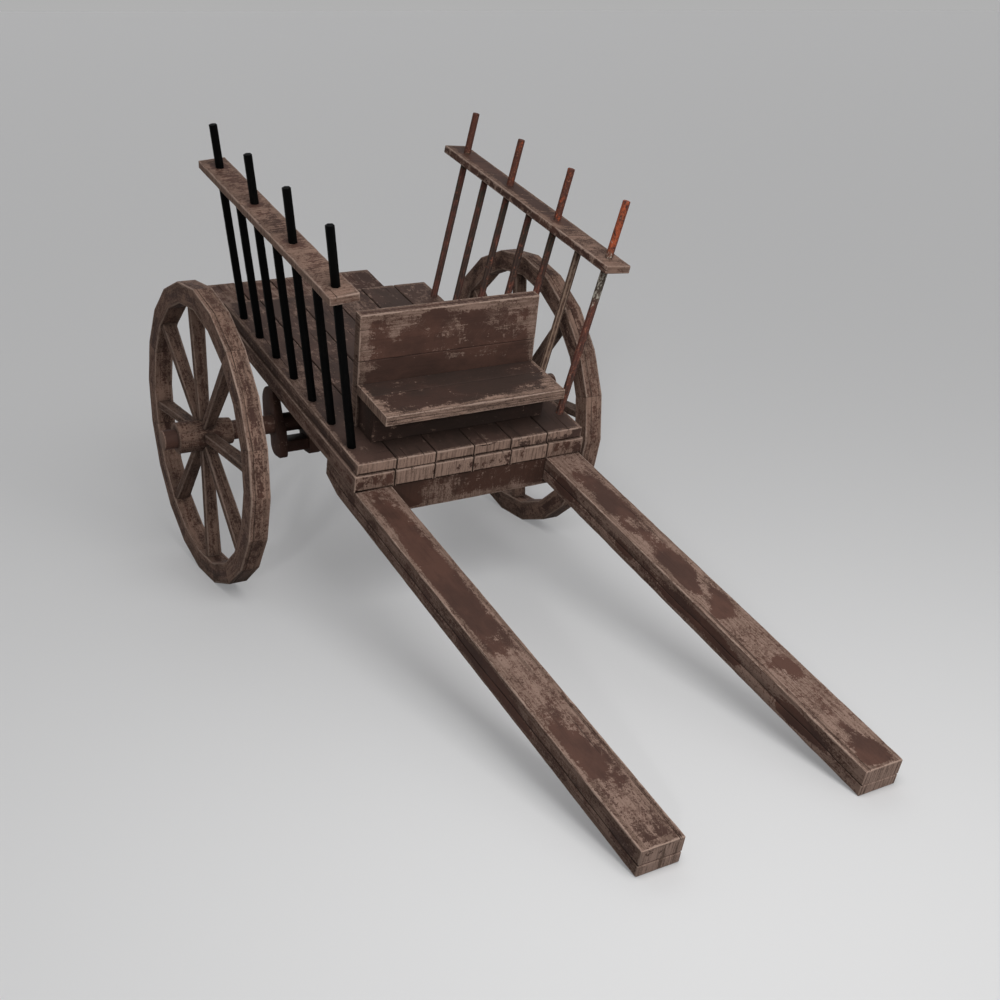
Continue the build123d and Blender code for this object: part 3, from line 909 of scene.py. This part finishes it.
STAKE_COUNT = 7
STAKE_RADIUS = {"left": 0.017, "right": 0.019}
STAKE_IRON = {"left": (rust, "rusty_iron"), "right": (black, "black_iron")}
STAKE_FIRST = 0.14
STAKE_PITCH = 0.2046
STAKE_SPREAD = 0.504
STAKE_LEAN = math.radians(9.4)
STAKE_RAKE = 0.7
STAKE_FAN = 0.48
STAKE_LENGTH = 0.987
STAKE_STEP = 0.0093
STAKE_FOOT = -0.052
# From the front stake back: how much each flakes, how pale its corners are and how fresh its rust is.
STAKE_KINDS = ((1, 0, 1), (0.1, 1, 0), (0, 0, 0.3), (0, 0, 0.1), (0, 0, 0.05), (0, 0, -0.4), (0, 0, -0.4))
RAIL_HEIGHT = 0.717
RAIL_TILT = math.radians(4.8)
SHORT_TOP = RAIL_HEIGHT - 0.0005
RAIL_WEAR = {
    "left": [
        (0.66, 0, 0.12, 0.2, 0.4), (0, 0, 9, 9, -0.02), (-0.48, 0.018, 0.22, 0.048, -0.3),
        (-0.16, 0.018, 0.07, 0.048, -0.24), (0.04, 0.01, 0.06, 0.05, -0.22), (0.24, 0.012, 0.05, 0.045, -0.2),
        (0.44, 0, 0.12, 0.06, 0.26), (0, -0.055, 0.8, 0.014, 0.3)],
    "right": [
        (0.66, 0, 0.11, 0.2, 0.36), (0, 0, 9, 9, 0.05), (-0.35, 0.03, 0.14, 0.03, -0.16),
        (0.36, 0.02, 0.1, 0.03, -0.16), (-0.5, 0, 0.03, 0.05, -0.16)],
}
RAIL_SIDE_WEAR = {"left": -0.35, "right": 0.42}
RAIL_END_WEAR = 0.45
RAIL_TONE = 0.96
STAKE_HOLE = (0.045, 0.04, -0.24)

for name, side in SIDES:
    rack = DECK @ Matrix.Translation((0, side * STAKE_SPREAD, 0))
    rack = rack @ Matrix.Rotation(-side * STAKE_LEAN, 4, "X")
    mesh = Mesh()
    for index in range(STAKE_COUNT):
        foot = Matrix.Translation((-(STAKE_FIRST + index * STAKE_PITCH), 0, 0))
        rake = Matrix.Rotation(-math.radians(STAKE_RAKE + index * STAKE_FAN), 4, "Y")
        top = STAKE_LENGTH - index * STAKE_STEP if index % 2 == 0 else SHORT_TOP
        place = rack @ foot @ rake @ Matrix.Translation((0, 0, STAKE_FOOT)) @ UPWARD
        seed = index * 1.3 + (3 if side > 0 else 40)
        rod(mesh, place, top - STAKE_FOOT, STAKE_RADIUS[name], seed, STAKE_KINDS[index])
    iron, slot = STAKE_IRON[name]
    piece(f"stakes_{name}", mesh, iron, "cart", [f"rack_stakes_{name}"])
    rail = rack @ Matrix.Rotation(side * (STAKE_LEAN - RAIL_TILT), 4, "X")
    place, half = laid(f"rack_rail_{name}", rail, LENGTH_X)
    mesh = Mesh()
    cuts = [Groove(3, 0.004, 0.003, 0.003, -0.3, 0.6, 0.2, 0.003)]
    cuts.append(end_splits(draw, half, 3, (2, 1, 3), 0.12)[0])
    top_wear = RAIL_WEAR[name][:]
    for index in range(0, STAKE_COUNT, 2):
        drop = RAIL_HEIGHT * math.tan(math.radians(STAKE_RAKE + index * STAKE_FAN))
        passing = Vector((-(STAKE_FIRST + index * STAKE_PITCH) - drop, 0, RAIL_HEIGHT))
        hole = place.inverted() @ rack @ passing
        top_wear.append((hole.x, hole.y, *STAKE_HOLE))
    # The long sides take the finish of cut ends.
    board(mesh, place, half, 101.3 + side * 4, 0.0045, 0.0045, grooves=cuts, end_rub=RAIL_END_WEAR,
          grain=ACROSS_GRAIN, rub=wear({TOP: top_wear, RIGHT: [(0, 0, 9, 1, RAIL_SIDE_WEAR[name])]}))
    piece(f"rail_{name}", mesh, rail_wood, "cart", [f"rack_rail_{name}"], tone=RAIL_TONE)

# -------- axle and hangers

SHARP_EDGE = math.radians(28)
FLAT_EDGE = math.radians(1.5)


def worn_copy(node, bevel, seed, grain):
    """A CAD node's own shape with its sharp edges eased; grain is the axis that its grain follows."""
    form = bmesh.new()
    form.from_mesh(nodes[node].data)
    bmesh.ops.remove_doubles(form, verts=form.verts, dist=1e-5)
    bmesh.ops.dissolve_limit(form, angle_limit=FLAT_EDGE, verts=form.verts, edges=form.edges)
    sharp = [e for e in form.edges if len(e.link_faces) == 2 and e.calc_face_angle(0) > SHARP_EDGE]
    bmesh.ops.bevel(form, geom=sharp, offset=bevel, segments=2, affect="EDGES", profile=0.5,
                    clamp_overlap=True)
    bmesh.ops.triangulate(form, faces=[f for f in form.faces if len(f.verts) > 4])
    low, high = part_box(node)
    middle = (Vector(low) + Vector(high)) / 2
    half = (Vector(high) - Vector(low)) / 2
    order = {"X": (0, 1, 2), "Y": (1, 0, 2), "Z": (2, 1, 0)}[grain]
    mesh = Mesh()
    form.verts.index_update()
    for vertex in form.verts:
        away = vertex.co - middle
        loc = [away[k] for k in order]
        size = [half[k] + (0.0 if k == 1 else 0.03) for k in order]
        mesh.point(vertex.co.copy(), loc, size)
    # The faces are sorted, because they don't come in the same order each time.
    rounds = []
    for face in form.faces:
        corners = [v.index for v in face.verts]
        first = corners.index(min(corners))
        rounds.append(tuple(corners[first:] + corners[:first]))
    for corners in sorted(rounds):
        mesh.face(corners, seed)
    form.free()
    return mesh


for name, side in SIDES:
    for index, (part, grain) in enumerate((("outer_cheek", "Z"), ("inner_cheek", "Z"), ("keeper", "X"))):
        node = f"hanger_{part}_{name}"
        mesh = worn_copy(node, 0.003, 120 + index * 3 + side, grain)
        piece(f"axle_{part}_{name}", mesh, gear_wood, "cart", [node])

mesh = worn_copy("axle", 0.003, 131, "Y")
piece("axle_beam", mesh, gear_wood, "cart", ["axle"])

# -------- wheels

RIM_FACETS = 20
FACET = 2 * math.pi / RIM_FACETS
RIM_RADIUS = HUB_Z / math.cos(FACET / 2)
RIM_DEPTH = 0.096
RIM_WIDTH = 0.088
FELLOE_LENGTH = 4 * (RIM_RADIUS - RIM_DEPTH / 2) * math.sin(FACET / 2)
SPOKE_COUNT = 8
SPOKE_ROOT = 0.0715
SPOKE_THICKNESS = 0.038
SPOKE_WIDTHS = (0.05, 0.066)
TREAD_LINE = {"left": -0.014, "right": -0.023}
SPOKE_TONE = 0.77
NAVE_TONE = 0.75


def rim_bend(number):
    """Lays a straight felloe round the rim: two flat facets that meet at a corner."""
    facet = FELLOE_LENGTH / 2

    def corner(k, radius):
        angle = (number * 2 + k + 0.5) * FACET
        return Vector((math.cos(angle) * radius, 0, math.sin(angle) * radius))

    def bend(position):
        along = (position.x + facet) / facet
        k = 0 if along < 1 else 1
        radius = RIM_RADIUS - RIM_DEPTH / 2 + position.z
        there = corner(k, radius).lerp(corner(k + 1, radius), along - k)
        return Vector((there.x, -position.y, there.z))
    return bend


def spoke_bend(length):
    """Widens a spoke towards the rim."""
    def bend(position):
        share = position.x / length + 0.5
        width = SPOKE_WIDTHS[0] + (SPOKE_WIDTHS[1] - SPOKE_WIDTHS[0]) * share
        position.y *= width / SPOKE_WIDTHS[1]
        return position
    return bend


for name, side in SIDES:
    body = f"wheel_{name}"
    hub = Matrix.Translation((HUB_X, side * WHEEL_SPREAD, HUB_Z))
    half = Vector((FELLOE_LENGTH / 2, RIM_WIDTH / 2, RIM_DEPTH / 2))
    for part, start in (("a", 0), ("b", 1)):
        mesh = Mesh()
        for number in range(start, RIM_FACETS // 2, 2):
            seed = 200 + number * 2.3 + side * 40
            line = Groove(2, TREAD_LINE[name], 0.0045, 0.0035, wander=0.004)
            board(mesh, hub, half, seed, 0.003, 0.0045, step=0.03, grooves=[line],
                  bend=rim_bend(number), stops=(0.0,), bare=((0, 0), (1, 1), (1, 1)),
                  facet_seeds=lambda x, s=seed: s if x < 0 else s + 1.1)
        piece(f"felloes_{name}_{part}", mesh, wheel_wood, body, [f"{body}_felloes_{part}"])

    mesh = Mesh()
    reach = RIM_RADIUS - RIM_DEPTH
    for number in range(SPOKE_COUNT):
        angle = number * 2 * math.pi / SPOKE_COUNT
        # The spoke ends on the rim's inner facets, a little into them.
        ahead = (angle / FACET - 0.5) % 1.0
        end = reach * math.cos(FACET / 2) / math.cos((ahead - 0.5) * FACET) + 0.002
        long = end - SPOKE_ROOT
        turn = Matrix.Rotation(angle, 4, "Y") @ Matrix.Translation((SPOKE_ROOT + long / 2, 0, 0))
        spoke_half = Vector((long / 2, SPOKE_WIDTHS[1] / 2, SPOKE_THICKNESS / 2))
        board(mesh, hub @ turn, spoke_half, 260 + number * 1.9 + side * 20, 0.004, 0.004, pitch=0.02,
              step=0.03, bend=spoke_bend(long))
    piece(f"spokes_{name}", mesh, wheel_wood, body, [f"{body}_spokes"], tone=SPOKE_TONE)
    mesh = worn_copy(f"{body}_nave", 0.002, 300 + side * 9, "Y")
    piece(f"nave_{name}", mesh, wheel_wood, body, [f"{body}_nave"], tone=NAVE_TONE)

# -------- floor, light, camera

# What the camera sees is plain and pale; other rays meet a darker floor and a white sky.
FLOOR_REACH = 900.0
FLOOR_SEEN = colour(200, 200, 200)
FLOOR_UNSEEN = colour(75, 75, 75)
FLOOR_GLOW = colour(112, 112, 113)
SKY_SEEN = colour(176, 176, 176)
SKY_STRENGTH = 0.22
CAMERA_PLACE = (4.79, -2.7227, 2.5058)
CAMERA_LOOK = (-0.8138, 0.4754, -0.3341)
CAMERA_LENS = 50.075


def seen(tree):
    """1 for the camera's rays, straight or by way of a glossy or clear surface, and 0 for others."""
    path = tree.nodes.new("ShaderNodeLightPath").outputs
    result = path["Is Camera Ray"]
    for ray in ("Is Glossy Ray", "Is Transmission Ray"):
        larger = tree.nodes.new("ShaderNodeMath")
        larger.operation = "MAXIMUM"
        tree.links.new(result, larger.inputs[0])
        tree.links.new(path[ray], larger.inputs[1])
        result = larger.outputs[0]
    return result


data = bpy.data.meshes.new("floor")
around = ((-1, -1), (1, -1), (1, 1), (-1, 1))
data.from_pydata([(x * FLOOR_REACH, y * FLOOR_REACH, 0) for x, y in around], [], [(0, 1, 2, 3)])
floor = added("floor", data)
ground = Shader("pale_floor")
shown = seen(ground.tree)
ground.put(ground.surface, Base_Color=ground.mix(shown, FLOOR_UNSEEN, FLOOR_SEEN), Roughness=0.9,
           Specular_IOR_Level=0.1, Emission_Color=FLOOR_GLOW, Emission_Strength=shown)
data.materials.append(ground.material)


def facing(direction):
    """The turn of a lamp or camera that looks along a direction."""
    return direction.to_track_quat("-Z", "Y").to_euler()


def sun(name, azimuth, elevation, strength, softness):
    """A distant light of some width in the sky, in degrees."""
    light = bpy.data.lights.new(name, "SUN")
    light.energy = strength
    light.angle = math.radians(softness)
    a, e = math.radians(azimuth), math.radians(elevation)
    away = Vector((math.cos(e) * math.cos(a), math.cos(e) * math.sin(a), math.sin(e)))
    added(name, light).rotation_euler = facing(-away)


def soft_box(name, position, target, size, power):
    """A square area lamp at a place, turned to a point."""
    light = bpy.data.lights.new(name, "AREA")
    light.size = size
    light.energy = power
    made = added(name, light)
    made.location = position
    made.rotation_euler = facing(Vector(target) - Vector(position))


sun("key", -36, 17, 0.55, 4)
sun("front_fill", 8, 22, 0.6, 60)
sun("back_fill", 160, 28, 0.55, 70)
soft_box("front_top", (2.9, -0.5, 3.8), (1.1, 0, 0.3), 2.4, 98)
world = bpy.data.worlds.new("studio")
scene.world = world
world.use_nodes = True
sky = world.node_tree
fill = sky.nodes["Background"]
fill.inputs["Color"].default_value = (1.0, 1.0, 1.0, 1.0)
fill.inputs["Strength"].default_value = SKY_STRENGTH
plain = sky.nodes.new("ShaderNodeBackground")
plain.inputs["Color"].default_value = SKY_SEEN
either = sky.nodes.new("ShaderNodeMixShader")
for socket, source in zip(either.inputs, (seen(sky), fill.outputs[0], plain.outputs[0])):
    sky.links.new(source, socket)
sky.links.new(either.outputs[0], sky.nodes["World Output"].inputs[0])

camera_data = bpy.data.cameras.new("camera")
camera_data.lens = CAMERA_LENS
camera = added("camera", camera_data)
camera.location = CAMERA_PLACE
camera.rotation_euler = facing(Vector(CAMERA_LOOK))
scene.camera = camera
scene.view_settings.view_transform = "Standard"

bpy.context.view_layer.update()
